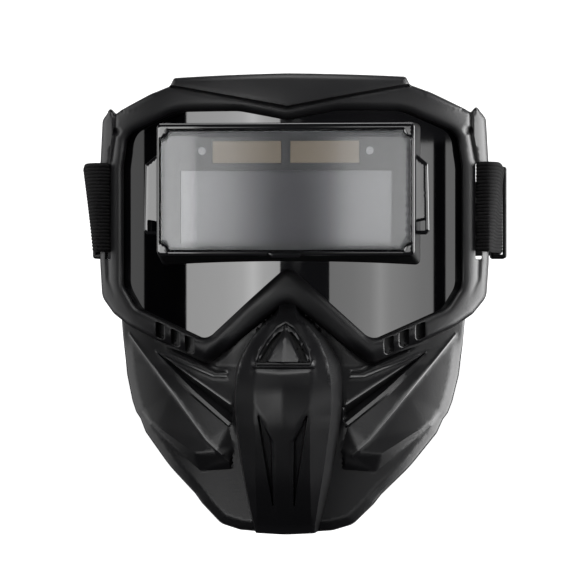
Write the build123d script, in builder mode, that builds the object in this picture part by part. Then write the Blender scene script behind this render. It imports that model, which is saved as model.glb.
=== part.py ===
from build123d import *
import math
import os

os.makedirs("parts", exist_ok=True)

# ---------------------------------------------------------------- dimensions
# Frame: X across the face (wearer's left is +X), Y from the mask's front (-Y)
# to the back of the head (+Y), Z up.  The origin is the centre of the face
# opening at eye level.  Everything curved is concentric about a vertical axis.
AXIS_Y = 76.0            # vertical axis of the curved shield and frame
R_FRONT = 124.0          # front face of the frame
R_PLATE = 120.1          # back of the frame's front plate
R_LENS = 120.0           # outside of the shield
T_LENS = 2.0
R_REAR = 108.0           # back face of the rear rim
R_FOAM = 92.0            # back face of the foam
T_FLEECE = 1.4
RIM_GROW = 5.5           # rear rim around the lens opening
FOAM_IN = 2.5            # foam overlap inside the lens opening

PLATE_W = 108.0          # standard 2 x 4-1/4 in cover plate
PLATE_H = 51.2
PLATE_T = 1.0
Y_PLATE = -62.0          # front of the cover plate
BOX_FRONT = -64.0        # front of the holder
STRAP_W = 38.0
STRAP_T = 1.6
STRAP_Z = -6.6
SLOT_X0 = 82.2
SLOT_X1 = 85.0

# Half outlines in X, Z (right half, from the top centre to the bottom centre)
# with the corner radius of each point.
FRAME_HALF = [
    (0, 52.0), (51.7, 51.2), (53.0, 47.6), (79.5, 37.0), (82.5, 39.4),
    (87.0, 34.5), (88.3, 12.0), (88.3, -30.0), (87.2, -46.0), (81.0, -53.5),
    (73.0, -59.0), (36.0, -76.0), (20.0, -63.5), (0, -47.5),
]
FRAME_R = [0, 1.5, 1.5, 1.0, 1.0, 3.0, 30, 30, 6, 5, 20, 5, 20, 3]
OPEN_HALF = [
    (0, 31.5), (22.0, 35.8), (50.0, 36.2), (73.6, 27.2), (76.0, 12.0),
    (76.0, -41.0), (69.5, -51.0), (36.5, -65.0), (0, -32.0),
]
OPEN_R = [6, 25, 25, 7, 20, 8, 6, 6, 4]
BROW_HALF = [(0, 52.0), (51.7, 51.2), (53.0, 47.6), (51.5, 46.6), (0, 36.9)]
JAW_HALF = [
    (0, -44.5), (20.0, -60.5), (36.0, -73.0), (73.0, -56.0), (77.8, -52.6),
    (76.5, -67.0), (74.7, -81.0), (71.8, -92.5), (69.8, -97.5), (67.6, -100.3),
    (64.9, -106.2), (53.0, -120.5), (40.8, -131.9), (37.5, -136.0),
    (28.7, -144.5), (18.5, -148.9), (0, -150.7),
]
JAW_IN_HALF = [
    (0, -28.0), (75.4, -28.0), (74.0, -67.0), (72.2, -81.0), (69.4, -92.0),
    (62.8, -105.0), (51.2, -118.8), (35.7, -134.2), (27.5, -142.2),
    (17.9, -146.5), (0, -148.2),
]


def full(half):
    """Both halves of a mirrored outline."""
    left = [(-x, z) for x, z in reversed(half) if x > 0]
    return list(half) + left


def full_radii(half, radii):
    left = [r for (x, z), r in reversed(list(zip(half, radii))) if x > 0]
    return list(radii) + left


def prism(half, radii=None, grow=0.0, y0=-110.0, y1=60.0):
    """Mirrored outline swept along Y from y0 to y1."""
    pts = full(half)
    rad = full_radii(half, radii) if radii else 0
    with BuildPart(mode=Mode.PRIVATE) as body:
        with BuildSketch(Plane.XZ.offset(-y1)):
            with BuildLine():
                FilletPolyline(*pts, radius=rad, close=True)
            make_face()
            if grow:
                offset(amount=grow, kind=Kind.ARC)
        extrude(amount=y1 - y0)
    return body.part


def block(x0, x1, y0, y1, z0, z1):
    """Plain box between two corners."""
    with BuildPart(mode=Mode.PRIVATE) as body:
        with Locations(((x0 + x1) / 2, (y0 + y1) / 2, (z0 + z1) / 2)):
            Box(x1 - x0, y1 - y0, z1 - z0)
    return body.part


def shell(r_in, r_out, z0=-170.0, z1=70.0):
    """Ring about the vertical axis, front half only."""
    with BuildPart(mode=Mode.PRIVATE) as body:
        with BuildSketch(Plane.XY.offset(z0)):
            with Locations((0, AXIS_Y)):
                Circle(r_out)
                Circle(r_in, mode=Mode.SUBTRACT)
        extrude(amount=z1 - z0)
        with Locations((0, AXIS_Y + 150 - 20, (z0 + z1) / 2)):
            Box(320, 300, z1 - z0 + 2, mode=Mode.SUBTRACT)
    return body.part


def drum(radius, z0=-170.0, z1=70.0):
    """Solid cylinder about the vertical axis."""
    with BuildPart(mode=Mode.PRIVATE) as body:
        with BuildSketch(Plane.XY.offset(z0)):
            with Locations((0, AXIS_Y)):
                Circle(radius)
        extrude(amount=z1 - z0)
    return body.part


def leaning_drum(radius, low_radius, low_shift, z_bend=-76.0, z_low=-152.0):
    """Drum that turns into a cone leaning forward below z_bend."""
    with BuildPart(mode=Mode.PRIVATE) as body:
        with BuildSketch(Plane.XY.offset(z_bend)):
            with Locations((0, AXIS_Y)):
                Circle(radius)
        extrude(amount=70.0 - z_bend)
        with BuildSketch(Plane.XY.offset(z_bend)):
            with Locations((0, AXIS_Y)):
                Circle(radius)
        with BuildSketch(Plane.XY.offset(z_low)):
            with Locations((0, AXIS_Y - low_shift)):
                Circle(low_radius)
        loft()
    return body.part


def ring_depth(radius, x):
    """Y of the front of a concentric ring at a given X."""
    return AXIS_Y - math.sqrt(radius * radius - x * x)


# ---------------------------------------------------------------- goggle frame
opening = prism(OPEN_HALF, OPEN_R)
opening_wide = prism(OPEN_HALF, OPEN_R, 3.0)
rim_outline = prism(OPEN_HALF, OPEN_R, RIM_GROW)
foam_inner = prism(OPEN_HALF, OPEN_R, -FOAM_IN)
front_plate = prism(FRAME_HALF, FRAME_R) & shell(R_PLATE, R_FRONT)
rear_rim = rim_outline & shell(R_REAR, R_FRONT - 1.0)
brow = prism(BROW_HALF) & shell(R_REAR, R_FRONT + 1.6)
groove = prism(OPEN_HALF, OPEN_R, 3.2) & shell(R_LENS - T_LENS - 1.5, R_LENS + 0.1)
channel = block(-46, 46, -60, 0, 43.6, 46.4) & shell(109.6, 116.4)
pocket_left = block(65, 73, -60, 20, -75, -56.1) & shell(115.0, R_PLATE)
pocket_right = block(-73, -65, -60, 20, -75, -56.1) & shell(115.0, R_PLATE)

with BuildPart() as goggle_frame:
    # front plate with the wings, rear rim, and the proud brow plate
    add(front_plate)
    add(rear_rim)
    add(brow)
    add(opening, mode=Mode.SUBTRACT)
    # groove for shield and gasket, channel for the brow vent foam
    add(groove, mode=Mode.SUBTRACT)
    add(channel, mode=Mode.SUBTRACT)
    # pockets for the mask tongues and their clips
    add(pocket_left, mode=Mode.SUBTRACT)
    add(pocket_right, mode=Mode.SUBTRACT)
    # six breather holes down through the brow
    for x in (-38, -24, -9, 9, 24, 38):
        with Locations((x, ring_depth(113.0, x), 45)):
            Box(9, 3.6, 26, mode=Mode.SUBTRACT)
    for side in (-1, 1):
        # strap slot and the small round hollow above it
        with Locations((side * (SLOT_X0 + SLOT_X1) / 2, -10, -7.5)):
            Box(SLOT_X1 - SLOT_X0, 40, 43, mode=Mode.SUBTRACT)
        with Locations(Location((side * 79.2, -10, 28.2), (90, 0, 0))):
            Cylinder(1.6, 60, mode=Mode.SUBTRACT)
        # three slanted vent slots
        for x, z in ((57.8, -62.0), (50.4, -64.6), (43.6, -67.2)):
            with Locations(Location((side * x, -30, z), (0, side * 22, 0))):
                Box(3.4, 60, 7.0, mode=Mode.SUBTRACT)
goggle_frame.part.label = "goggle_frame"
export_step(goggle_frame.part, "parts/goggle_frame.step")

# ---------------------------------------------------------------- shield
PEGS = [(-44, 29.0), (44, 29.0), (-44, -29.6), (44, -29.6)]
shield_ring = shell(R_LENS - T_LENS, R_LENS)
with BuildPart() as lens_shield:
    add(opening_wide)
    add(shield_ring, mode=Mode.INTERSECT)
    # see-through window behind the filter
    with Locations((0, -40, 0)):
        Box(100, 40, 44, mode=Mode.SUBTRACT)
    for x, z in PEGS:
        with Locations(Location((x, -30, z), (90, 0, 0))):
            Cylinder(1.9, 60, mode=Mode.SUBTRACT)
lens_shield.part.label = "lens_shield"
export_step(lens_shield.part, "parts/lens_shield.step")

gasket_inner = prism(OPEN_HALF, OPEN_R, 0.4)
gasket_ring = shell(R_LENS - T_LENS - 1.4, R_LENS - T_LENS - 0.05)
with BuildPart() as lens_gasket:
    add(opening_wide)
    add(gasket_inner, mode=Mode.SUBTRACT)
    add(gasket_ring, mode=Mode.INTERSECT)
lens_gasket.part.label = "lens_gasket"
export_step(lens_gasket.part, "parts/lens_gasket.step")

# ---------------------------------------------------------------- foams
foam_ring = shell(R_FOAM, R_REAR - 0.05)
fleece_ring = shell(R_FOAM - T_FLEECE, R_FOAM - 0.05)
with BuildPart() as face_foam:
    add(rim_outline)
    add(foam_inner, mode=Mode.SUBTRACT)
    add(foam_ring, mode=Mode.INTERSECT)
face_foam.part.label = "face_foam"
export_step(face_foam.part, "parts/face_foam.step")

with BuildPart() as face_fleece:
    add(rim_outline)
    add(foam_inner, mode=Mode.SUBTRACT)
    add(fleece_ring, mode=Mode.INTERSECT)
face_fleece.part.label = "face_fleece"
export_step(face_fleece.part, "parts/face_fleece.step")

brow_foam = block(-45.8, 45.8, -60, 0, 43.8, 46.2) & shell(109.8, 116.2)
with BuildPart() as brow_vent_foam:
    add(brow_foam)
brow_vent_foam.part.label = "brow_vent_foam"
export_step(brow_vent_foam.part, "parts/brow_vent_foam.step")

VENT_HALF = [(39.0, -69.0), (61.5, -59.2), (61.5, -62.6), (39.0, -72.6)]
vent_ring = shell(117.4, R_PLATE - 0.1)
rim_clear = prism(OPEN_HALF, OPEN_R, RIM_GROW + 0.15)
for side, name in ((1, "left"), (-1, "right")):
    with BuildPart() as vent_foam:
        with BuildSketch(Plane.XZ.offset(-60)):
            with BuildLine():
                Polyline(*[(side * x, z) for x, z in VENT_HALF], close=True)
            make_face()
        extrude(amount=160)
        add(rim_clear, mode=Mode.SUBTRACT)
        add(vent_ring, mode=Mode.INTERSECT)
    vent_foam.part.label = "lower_vent_foam_" + name
    export_step(vent_foam.part, "parts/" + vent_foam.part.label + ".step")

# ---------------------------------------------------------------- filter holder
shield_clear = drum(R_LENS + 0.3)
with BuildPart() as holder_core:
    # drafted box from the flat bezel back to the curved shield
    with BuildSketch(Plane.XZ.offset(-BOX_FRONT)):
        with Locations((0, 0.5)):
            RectangleRounded(111, 57.2, 2.0)
    with BuildSketch(Plane.XZ.offset(24)):
        with Locations((0, -0.7)):
            RectangleRounded(116, 63.6, 3.5)
    loft()
    fillet(holder_core.faces().sort_by(Axis.Y)[0].edges(), 0.8)
    # side ears with an open hollow at the lower end
    for side in (-1, 1):
        with Locations((side * 58.5, -53.5, -2.0)):
            Box(8.0, 11, 33)
        with Locations((side * 59.4, -53.5, -14.5)):
            Box(3.4, 8, 10, mode=Mode.SUBTRACT)
    # rear cut follows the shield with a running gap
    add(shield_clear, mode=Mode.SUBTRACT)

with BuildPart() as filter_holder:
    add(holder_core.part)
    # pocket for plate, cartridge and inner plate
    with Locations((0, -58, 0)):
        Box(PLATE_W + 0.6, 13.4, PLATE_H + 0.6, mode=Mode.SUBTRACT)
    # open hollow behind the rear ledge
    with Locations((0, -39.7, 0)):
        Box(104, 20, 47, mode=Mode.SUBTRACT)
    with Locations((0, -45, 0)):
        Box(98, 20, 41, mode=Mode.SUBTRACT)
    # round corner bosses that the scooped corners of the plate go round
    for x in (-1, 1):
        for z in (-1, 1):
            with Locations(Location((x * 54.4, -62.7, z * 26.0), (90, 0, 0))):
                Cylinder(3.6, 2.6)
    # latch recess at the bottom centre
    with Locations((0, -63.4, -27.2)):
        Box(17, 1.4, 2.6, mode=Mode.SUBTRACT)
    # snap pegs through the shield
    for x, z in PEGS:
        with Locations(Location((x, -40.5, z), (90, 0, 0))):
            Cylinder(1.6, 13)
filter_holder.part.label = "filter_holder"
export_step(filter_holder.part, "parts/filter_holder.step")

with BuildPart() as cover_latch:
    with BuildSketch(Plane.XZ.offset(62.75)):
        with BuildLine():
            Polyline((-8.2, -26.05), (8.2, -26.05), (6.2, -28.35), (-6.2, -28.35), close=True)
        make_face()
    extrude(amount=1.9)
    fillet(cover_latch.edges().filter_by(Axis.Y), 0.5)
cover_latch.part.label = "cover_latch"
export_step(cover_latch.part, "parts/cover_latch.step")

with BuildPart() as cover_plate:
    with BuildSketch(Plane.XZ.offset(-Y_PLATE - PLATE_T)):
        Rectangle(PLATE_W, PLATE_H)
        with Locations([(x * 54.4, z * 26.0) for x in (-1, 1) for z in (-1, 1)]):
            Circle(3.95, mode=Mode.SUBTRACT)
    extrude(amount=PLATE_T)
cover_plate.part.label = "cover_plate"
export_step(cover_plate.part, "parts/cover_plate.step")

# ---------------------------------------------------------------- cartridge
CASE_W = 107.8
CASE_H = 50.9
WIN_Z = -6.9
Y_CASE = Y_PLATE + PLATE_T + 0.3     # front of the cartridge
with BuildPart() as filter_case_front:
    with Locations((0, Y_CASE + 2.1, 0)):
        Box(CASE_W, 4.2, CASE_H)
    fillet(filter_case_front.edges().filter_by(Axis.Y), 1.5)
    # viewing window
    with Locations((0, Y_CASE + 2.1, WIN_Z)):
        Box(91, 4.4, 31.2, mode=Mode.SUBTRACT)
    # rebates for the glass and the electronics
    with Locations((0, Y_CASE + 2.9, WIN_Z)):
        Box(97.4, 3.2, 35.0, mode=Mode.SUBTRACT)
    with Locations((0, Y_CASE + 2.9, 17.4)):
        Box(99, 3.2, 11.2, mode=Mode.SUBTRACT)
    for side in (-1, 1):
        with Locations((side * 16.8, Y_CASE + 2.1, 16.7)):
            Box(29.9, 4.4, 9.7, mode=Mode.SUBTRACT)
        with Locations(Location((side * 36.2, Y_CASE + 2.1, 17.2), (90, 0, 0))):
            Cylinder(1.75, 4.6, mode=Mode.SUBTRACT)
filter_case_front.part.label = "filter_case_front"
export_step(filter_case_front.part, "parts/filter_case_front.step")

with BuildPart() as filter_case_rear:
    with Locations((0, Y_CASE + 6.2, 0)):
        Box(CASE_W, 3.8, CASE_H)
    fillet(filter_case_rear.edges().filter_by(Axis.Y), 1.5)
    with Locations((0, Y_CASE + 6.2, WIN_Z)):
        Box(91, 4.2, 31.2, mode=Mode.SUBTRACT)
    with Locations((0, Y_CASE + 5.6, 17.4)):
        Box(99, 3.0, 11.4, mode=Mode.SUBTRACT)
filter_case_rear.part.label = "filter_case_rear"
export_step(filter_case_rear.part, "parts/filter_case_rear.step")

with BuildPart() as uv_ir_filter:
    with Locations((0, Y_CASE + 2.0, WIN_Z)):
        Box(97.0, 1.2, 34.6)
uv_ir_filter.part.label = "uv_ir_filter"
export_step(uv_ir_filter.part, "parts/uv_ir_filter.step")

with BuildPart() as lcd_panel:
    with Locations((0, Y_CASE + 3.4, WIN_Z)):
        Box(97.0, 1.5, 34.6)
lcd_panel.part.label = "lcd_panel"
export_step(lcd_panel.part, "parts/lcd_panel.step")

with BuildPart() as filter_circuit_board:
    with Locations((0, Y_CASE + 3.6, 17.4)):
        Box(98.6, 1.0, 10.8)
filter_circuit_board.part.label = "filter_circuit_board"
export_step(filter_circuit_board.part, "parts/filter_circuit_board.step")

for side, name in ((1, "left"), (-1, "right")):
    with BuildPart() as solar_cell:
        with Locations((side * 16.8, Y_CASE + 1.6, 16.7)):
            Box(29.6, 2.8, 9.4)
    solar_cell.part.label = "solar_cell_" + name
    export_step(solar_cell.part, "parts/" + solar_cell.part.label + ".step")
    with BuildPart() as arc_sensor:
        with Locations(Location((side * 36.2, Y_CASE + 1.6, 17.2), (90, 0, 0))):
            Cylinder(1.65, 2.8)
    arc_sensor.part.label = "arc_sensor_" + name
    export_step(arc_sensor.part, "parts/" + arc_sensor.part.label + ".step")
    with BuildPart() as button_cell:
        with Locations(Location((side * 30.0, Y_CASE + 5.4, 17.4), (90, 0, 0))):
            Cylinder(5.4, 2.1)
            fillet(button_cell.edges(), 0.25)
    button_cell.part.label = "button_cell_" + name
    export_step(button_cell.part, "parts/" + button_cell.part.label + ".step")

with BuildPart() as inner_cover_plate:
    with Locations((0, Y_CASE + 8.8, 0)):
        Box(PLATE_W - 0.4, 1.0, PLATE_H - 0.4)
    fillet(inner_cover_plate.edges().filter_by(Axis.Y), 1.0)
inner_cover_plate.part.label = "inner_cover_plate"
export_step(inner_cover_plate.part, "parts/inner_cover_plate.step")

# ---------------------------------------------------------------- jaw mask
# Hood: front view of the base (where it leaves the cheeks) and of the crest.
HOOD_BASE = [(0, -48.6), (18.0, -64.6), (24.6, -76.0), (25.2, -96.0), (22.6, -120.0), (17.4, -147.0)]
HOOD_CREST = [(0, -53.5), (14.5, -64.0), (20.3, -82.0), (20.3, -96.0), (17.0, -120.0), (13.0, -147.0)]
# Side view of the hood front in Y, Z.
HOOD_SIDE = [
    (30, -30), (-52, -30), (-52, -52), (-60, -57), (-77, -73.5), (-81, -84),
    (-83, -100), (-80, -125), (-70, -145), (-62, -152), (30, -152),
]
Y_BASE = -30.0
Y_CREST = -84.0


def side_prism(points, half_width=60.0):
    """Closed Y, Z outline swept across the face."""
    with BuildPart(mode=Mode.PRIVATE) as body:
        with BuildSketch(Plane.YZ.offset(-half_width)):
            with BuildLine():
                Polyline(*points, close=True)
            make_face()
        extrude(amount=2 * half_width)
    return body.part


def front_prism(points, y0, y1):
    """Closed X, Z outline swept from y0 back to y1."""
    with BuildPart(mode=Mode.PRIVATE) as body:
        with BuildSketch(Plane.XZ.offset(-y1)):
            with BuildLine():
                Polyline(*points, close=True)
            make_face()
        extrude(amount=y1 - y0)
    return body.part


def hood(base, crest, side_pts):
    """Tapered nose hood, trimmed to its side profile."""
    with BuildPart(mode=Mode.PRIVATE) as body:
        with BuildSketch(Plane.XZ.offset(-Y_BASE)):
            with BuildLine():
                Polyline(*full(base), close=True)
            make_face()
        with BuildSketch(Plane.XZ.offset(-Y_CREST)):
            with BuildLine():
                Polyline(*full(crest), close=True)
            make_face()
        loft(ruled=True)
    return body.part & side_prism(side_pts)


def inset(points, dx, dz_top, dz_low):
    """Half outline moved inwards for the inside of the hood."""
    moved = []
    for x, z in points:
        shift = dz_top if z > -78 else (dz_low if z < -140 else 0)
        moved.append((max(x - dx, 0), z + shift))
    return moved


WALL = 2.2
HOOD_BASE_IN = inset(HOOD_BASE, WALL, -WALL - 0.8, 3.2)
HOOD_CREST_IN = inset(HOOD_CREST, WALL, -WALL - 0.8, 3.2)
HOOD_SIDE_IN = [
    (30, -30), (-49.5, -30), (-49.5, -53), (-57, -58.8), (-74.6, -75), (-78.6, -85),
    (-80.6, -100), (-77.7, -124.5), (-68, -143.5), (-61, -148.2), (30, -148.2),
]

# slanted plane behind which the mask is cut away
rear_trim = side_prism(
    [(18, -20), (18, -60), (-22, -152), (-22, -170), (150, -170), (150, -20)], 120)
cheeks = prism(JAW_HALF) & leaning_drum(119.4, 98.0, 38.0)
cheeks_inside = prism(JAW_IN_HALF) & leaning_drum(117.2, 95.6, 38.0)
hood_outside = hood(HOOD_BASE, HOOD_CREST, HOOD_SIDE)
hood_inside = hood(HOOD_BASE_IN, HOOD_CREST_IN, HOOD_SIDE_IN)
tongue_left = block(66, 72, -60, 20, -75, -56.8) & shell(117.2, 119.4)
tongue_right = block(-72, -66, -60, 20, -75, -56.8) & shell(117.2, 119.4)
RELIEF = [(37.5, -74.6), (62.5, -63.2), (62.5, -50), (37.5, -50)]
ARCH = [(0, -58.0), (6.5, -64.5), (11.6, -73.6), (-11.6, -73.6), (-6.5, -64.5)]
GROOVE = [(11.2, -92.0), (5.0, -104.0), (4.2, -132.0), (6.0, -126.0)]
LOUVRE = [(57.5, -72.3), (28.0, -93.0), (28.0, -98.0)]

with BuildPart() as jaw_mask:
    add(cheeks)
    # tongues that slide up behind the lower corners of the frame
    add(tongue_left)
    add(tongue_right)
    add(hood_outside)
    add(cheeks_inside, mode=Mode.SUBTRACT)
    add(hood_inside, mode=Mode.SUBTRACT)
    add(rear_trim, mode=Mode.SUBTRACT)
    # pointed arch window for the nose vent cover
    add(front_prism(ARCH, -100, -40), mode=Mode.SUBTRACT)
    for side in (-1, 1):
        # the top edge stays clear of the vent foam
        add(front_prism([(side * x, z) for x, z in RELIEF], -100, 60), mode=Mode.SUBTRACT)
        # long tapered air grooves either side of the central bar
        add(front_prism([(side * x, z) for x, z in GROOVE], -120, -60), mode=Mode.SUBTRACT)
        # cheek louvre
        add(front_prism([(side * x, z) for x, z in LOUVRE], -80, -20), mode=Mode.SUBTRACT)
jaw_mask.part.label = "jaw_mask"
export_step(jaw_mask.part, "parts/jaw_mask.step")

# faceted pointed arch plate that closes the window from the inside
ARCH_IN = [(0, -58.6), (6.1, -64.8), (11.0, -73.2), (-11.0, -73.2), (-6.1, -64.8)]
arch_plate = front_prism(ARCH_IN, -100, -40)
arch_slab = side_prism([(-57.8, -56.0), (-78.0, -74.6), (-75.8, -75.6), (-55.6, -57.4)], 30)
with BuildPart() as nose_vent_cover:
    add(arch_plate)
    add(arch_slab, mode=Mode.INTERSECT)
nose_vent_cover.part.label = "nose_vent_cover"
export_step(nose_vent_cover.part, "parts/nose_vent_cover.step")

with BuildPart() as breathing_filter:
    with Locations((0, -71.5, -104)):
        Box(25, 7, 36)
    fillet(breathing_filter.edges().filter_by(Axis.Y), 3)
breathing_filter.part.label = "breathing_filter"
export_step(breathing_filter.part, "parts/breathing_filter.step")

with BuildPart() as filter_retainer:
    with Locations((0, -66.8, -104)):
        Box(29, 2, 40)
    fillet(filter_retainer.edges().filter_by(Axis.Y), 4)
    for k in range(-3, 4):
        with Locations((0, -66.8, -104 + 4.8 * k)):
            Box(21, 3, 2.6, mode=Mode.SUBTRACT)
filter_retainer.part.label = "filter_retainer"
export_step(filter_retainer.part, "parts/filter_retainer.step")

clip_ring = shell(115.2, 116.0)
for side, name in ((1, "left"), (-1, "right")):
    with BuildPart() as mask_clip:
        with Locations((side * 69, -20, -58.5)):
            Box(7, 80, 4.4)
        add(clip_ring, mode=Mode.INTERSECT)
    mask_clip.part.label = "mask_clip_" + name
    export_step(mask_clip.part, "parts/" + mask_clip.part.label + ".step")

# ---------------------------------------------------------------- strap
# Plan view of the worn strap: round the wing bar, straight back past the
# slider, then round the back of the head.  The inner layer is the free tail.
STRAP_OUT = 95.0
Y_TURN = 95.0
Y_BACK = 172.0
with BuildPart() as strap:
    with BuildSketch(Plane.XY.offset(STRAP_Z - STRAP_W / 2)):
        with BuildLine() as path:
            back = EllipticalCenterArc((0, Y_TURN), STRAP_OUT, Y_BACK - Y_TURN,
                                       start_angle=0, arc_size=180)
            for side in (-1, 1):
                Line((side * STRAP_OUT, Y_TURN), (side * STRAP_OUT, 2))
                Spline((side * STRAP_OUT, 2), (side * 92.6, -12.5), (side * 87.6, -17.8),
                       (side * 83.8, -14.8), (side * 83.5, -8.5), (side * 86.6, 6),
                       (side * 92.6, 28),
                       tangents=[(0, -1), (0, 1)])
                Line((side * 92.6, 28), (side * 92.6, 90))
        trace(line_width=STRAP_T)
    extrude(amount=STRAP_W)
strap.part.label = "strap"
export_step(strap.part, "parts/strap.step")

for k, name in enumerate(("lower", "middle", "upper")):
    with BuildPart() as bead:
        with BuildSketch(Plane.XY.offset(STRAP_Z - 10.75 + 9.5 * k)):
            with Locations((0, Y_TURN)):
                Ellipse(STRAP_OUT - 0.85, Y_BACK - Y_TURN - 0.85)
                Ellipse(STRAP_OUT - 1.65, Y_BACK - Y_TURN - 1.65, mode=Mode.SUBTRACT)
            with Locations((0, Y_TURN - 100 + 28)):
                Rectangle(240, 200, mode=Mode.SUBTRACT)
        extrude(amount=2.5)
    bead.part.label = "strap_grip_bead_" + name
    export_step(bead.part, "parts/" + bead.part.label + ".step")

for side, name in ((1, "left"), (-1, "right")):
    with BuildPart() as slider:
        # flat loop round both layers of the strap, with a ladder face outside
        with Locations((side * 93.8, 44, STRAP_Z)):
            Box(7.4, 26, STRAP_W + 5)
        fillet(slider.edges().filter_by(Axis.Y), 1.4)
        fillet(slider.edges().filter_by(Axis.X), 1.0)
        with Locations((side * 93.8, 44, STRAP_Z)):
            Box(4.8, 30, STRAP_W + 1.2, mode=Mode.SUBTRACT)
        for dy in (-5.6, 5.6):
            with Locations((side * 97.0, 44 + dy, STRAP_Z)):
                Box(5.0, 5.6, STRAP_W - 4, mode=Mode.SUBTRACT)
        with Locations((side * 90.6, 44, STRAP_Z)):
            Box(3.0, 15, STRAP_W - 4, mode=Mode.SUBTRACT)
    slider.part.label = "strap_slider_" + name
    export_step(slider.part, "parts/" + slider.part.label + ".step")
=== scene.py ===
"""Welding goggles with a detachable jaw mask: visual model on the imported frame."""
import math

import bmesh
import bpy
import numpy as np
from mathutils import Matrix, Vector, geometry, noise


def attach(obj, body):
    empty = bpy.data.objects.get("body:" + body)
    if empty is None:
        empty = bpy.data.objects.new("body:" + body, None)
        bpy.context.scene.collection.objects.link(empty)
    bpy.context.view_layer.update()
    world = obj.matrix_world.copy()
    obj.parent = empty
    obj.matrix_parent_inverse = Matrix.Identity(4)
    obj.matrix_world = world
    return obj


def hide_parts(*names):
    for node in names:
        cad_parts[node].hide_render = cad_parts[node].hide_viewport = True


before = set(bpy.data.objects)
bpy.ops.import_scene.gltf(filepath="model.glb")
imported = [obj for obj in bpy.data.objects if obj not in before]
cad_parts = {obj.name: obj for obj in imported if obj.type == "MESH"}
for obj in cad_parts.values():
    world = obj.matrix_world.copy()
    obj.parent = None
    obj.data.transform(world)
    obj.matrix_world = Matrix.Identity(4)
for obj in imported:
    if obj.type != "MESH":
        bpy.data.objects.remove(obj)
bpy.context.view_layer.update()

MM = 0.001
AXIS_Y = 76.0          # vertical axis of shield and frame, mm
R_FRONT = 124.0
R_PLATE = 120.1
R_LENS = 120.0
R_REAR = 108.0
FRONT = -64.0          # front of the filter holder
PLATE_FRONT = -62.0
POLISH_BACK = -0.0625  # the holder is polished this far back, m
BROW_PROUD = 1.5       # brow plate over the band below its groove
BRIDGE_PROUD = 1.8
PIN = (79.0, 28.5)     # blind hole in each wing, with its radius
PIN_R = 2.3
BOSS = (54.4, 26.0)    # corner bosses that the clear plate is scooped around
FLOOR_Z = -0.33        # m, well below the object


# ------------------------------------------------------------------ outlines
def full(half):
    """Both halves of an outline given for x >= 0, top centre to bottom centre."""
    return list(half) + [(-p[0],) + tuple(p[1:]) for p in reversed(half) if p[0] > 1e-6]


def mirrored(s, pts):
    """The same points on the right (s = 1) or mirrored to the left (s = -1)."""
    return [(s * p[0],) + tuple(p[1:]) for p in pts]


def arc(cx, cz, r, a0, a1, n):
    """n + 1 points along a circle, from angle a0 to a1."""
    return [(cx + r * math.cos(a0 + (a1 - a0) * k / n), cz + r * math.sin(a0 + (a1 - a0) * k / n))
            for k in range(n + 1)]


def area2(loop):
    return sum(a[0] * b[1] - b[0] * a[1] for a, b in zip(loop, loop[1:] + loop[:1]))


def ccw(loop):
    return loop if area2(loop) > 0 else loop[::-1]


def rounded(points, radius=None, step=0.8):
    """Closed loop through (x, z[, r]) corners with arcs at the corners."""
    n = len(points)
    out = []
    for i in range(n):
        p = Vector(points[i][:2])
        a = Vector(points[i - 1][:2])
        b = Vector(points[(i + 1) % n][:2])
        r = radius if radius is not None else (points[i][2] if len(points[i]) > 2 else 0)
        u, v = (a - p), (b - p)
        la, lb = u.length, v.length
        u.normalize()
        v.normalize()
        ang = math.acos(max(-1, min(1, u.dot(v))))
        if r < 1e-6 or ang > math.pi - 1e-3:
            out.append(tuple(p))
            continue
        t = min(r / math.tan(ang / 2), 0.48 * la, 0.48 * lb)
        r = t * math.tan(ang / 2)
        bis = (u + v).normalized()
        c = p + bis * (r / math.sin(ang / 2))
        s, e = p + u * t, p + v * t
        a0 = math.atan2(s.y - c.y, s.x - c.x)
        a1 = math.atan2(e.y - c.y, e.x - c.x)
        d = (a1 - a0 + math.pi) % (2 * math.pi) - math.pi
        out += arc(c.x, c.y, r, a0, a0 + d, max(3, int(abs(d) * r / (step * 0.6)) + 1))
    return ccw(dense(out, step))


def dense(points, step, closed=True):
    """Adds points so that no stretch is longer than step."""
    out = []
    pairs = zip(points, points[1:] + points[:1]) if closed else zip(points, points[1:])
    for a, b in pairs:
        d = math.hypot(b[0] - a[0], b[1] - a[1])
        if d < 1e-6:
            continue
        k = max(1, int(math.ceil(d / step)))
        for j in range(k):
            out.append(tuple(a[i] + (b[i] - a[i]) * j / k for i in range(len(a))))
    if not closed:
        out.append(tuple(points[-1]))
    return out


def shift(loop, d):
    """Loop moved d along its outward normals (ccw loops)."""
    n = len(loop)
    out = []
    for i in range(n):
        a, b = loop[i - 1], loop[(i + 1) % n]
        dx, dz = b[0] - a[0], b[1] - a[1]
        ln = math.hypot(dx, dz) or 1.0
        out.append((loop[i][0] + d * dz / ln, loop[i][1] - d * dx / ln))
    return out


def inside(pts, loop):
    """Boolean array: which of the points lie in the loop."""
    x, z = pts[:, 0], pts[:, 1]
    hit = np.zeros(len(pts), bool)
    for (ax, az), (bx, bz) in zip(loop, loop[1:] + loop[:1]):
        if az == bz:
            continue
        cross = ((az > z) != (bz > z)) & (x < (bx - ax) * (z - az) / (bz - az) + ax)
        hit ^= cross
    return hit


def dist(pts, line, closed=True):
    """Distance of each point to a polyline."""
    a = np.array([p[:2] for p in line], float)
    b = np.roll(a, -1, axis=0)
    if not closed:
        a, b = a[:-1], b[:-1]
    d = b - a
    l2 = np.maximum((d * d).sum(1), 1e-12)
    out = np.empty(len(pts))
    for s in range(0, len(pts), 4000):
        p = pts[s:s + 4000, None, :]
        t = np.clip(((p - a) * d).sum(2) / l2, 0, 1)
        q = a + d * t[..., None]
        out[s:s + 4000] = np.sqrt(((p - q) ** 2).sum(2).min(1))
    return out


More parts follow.
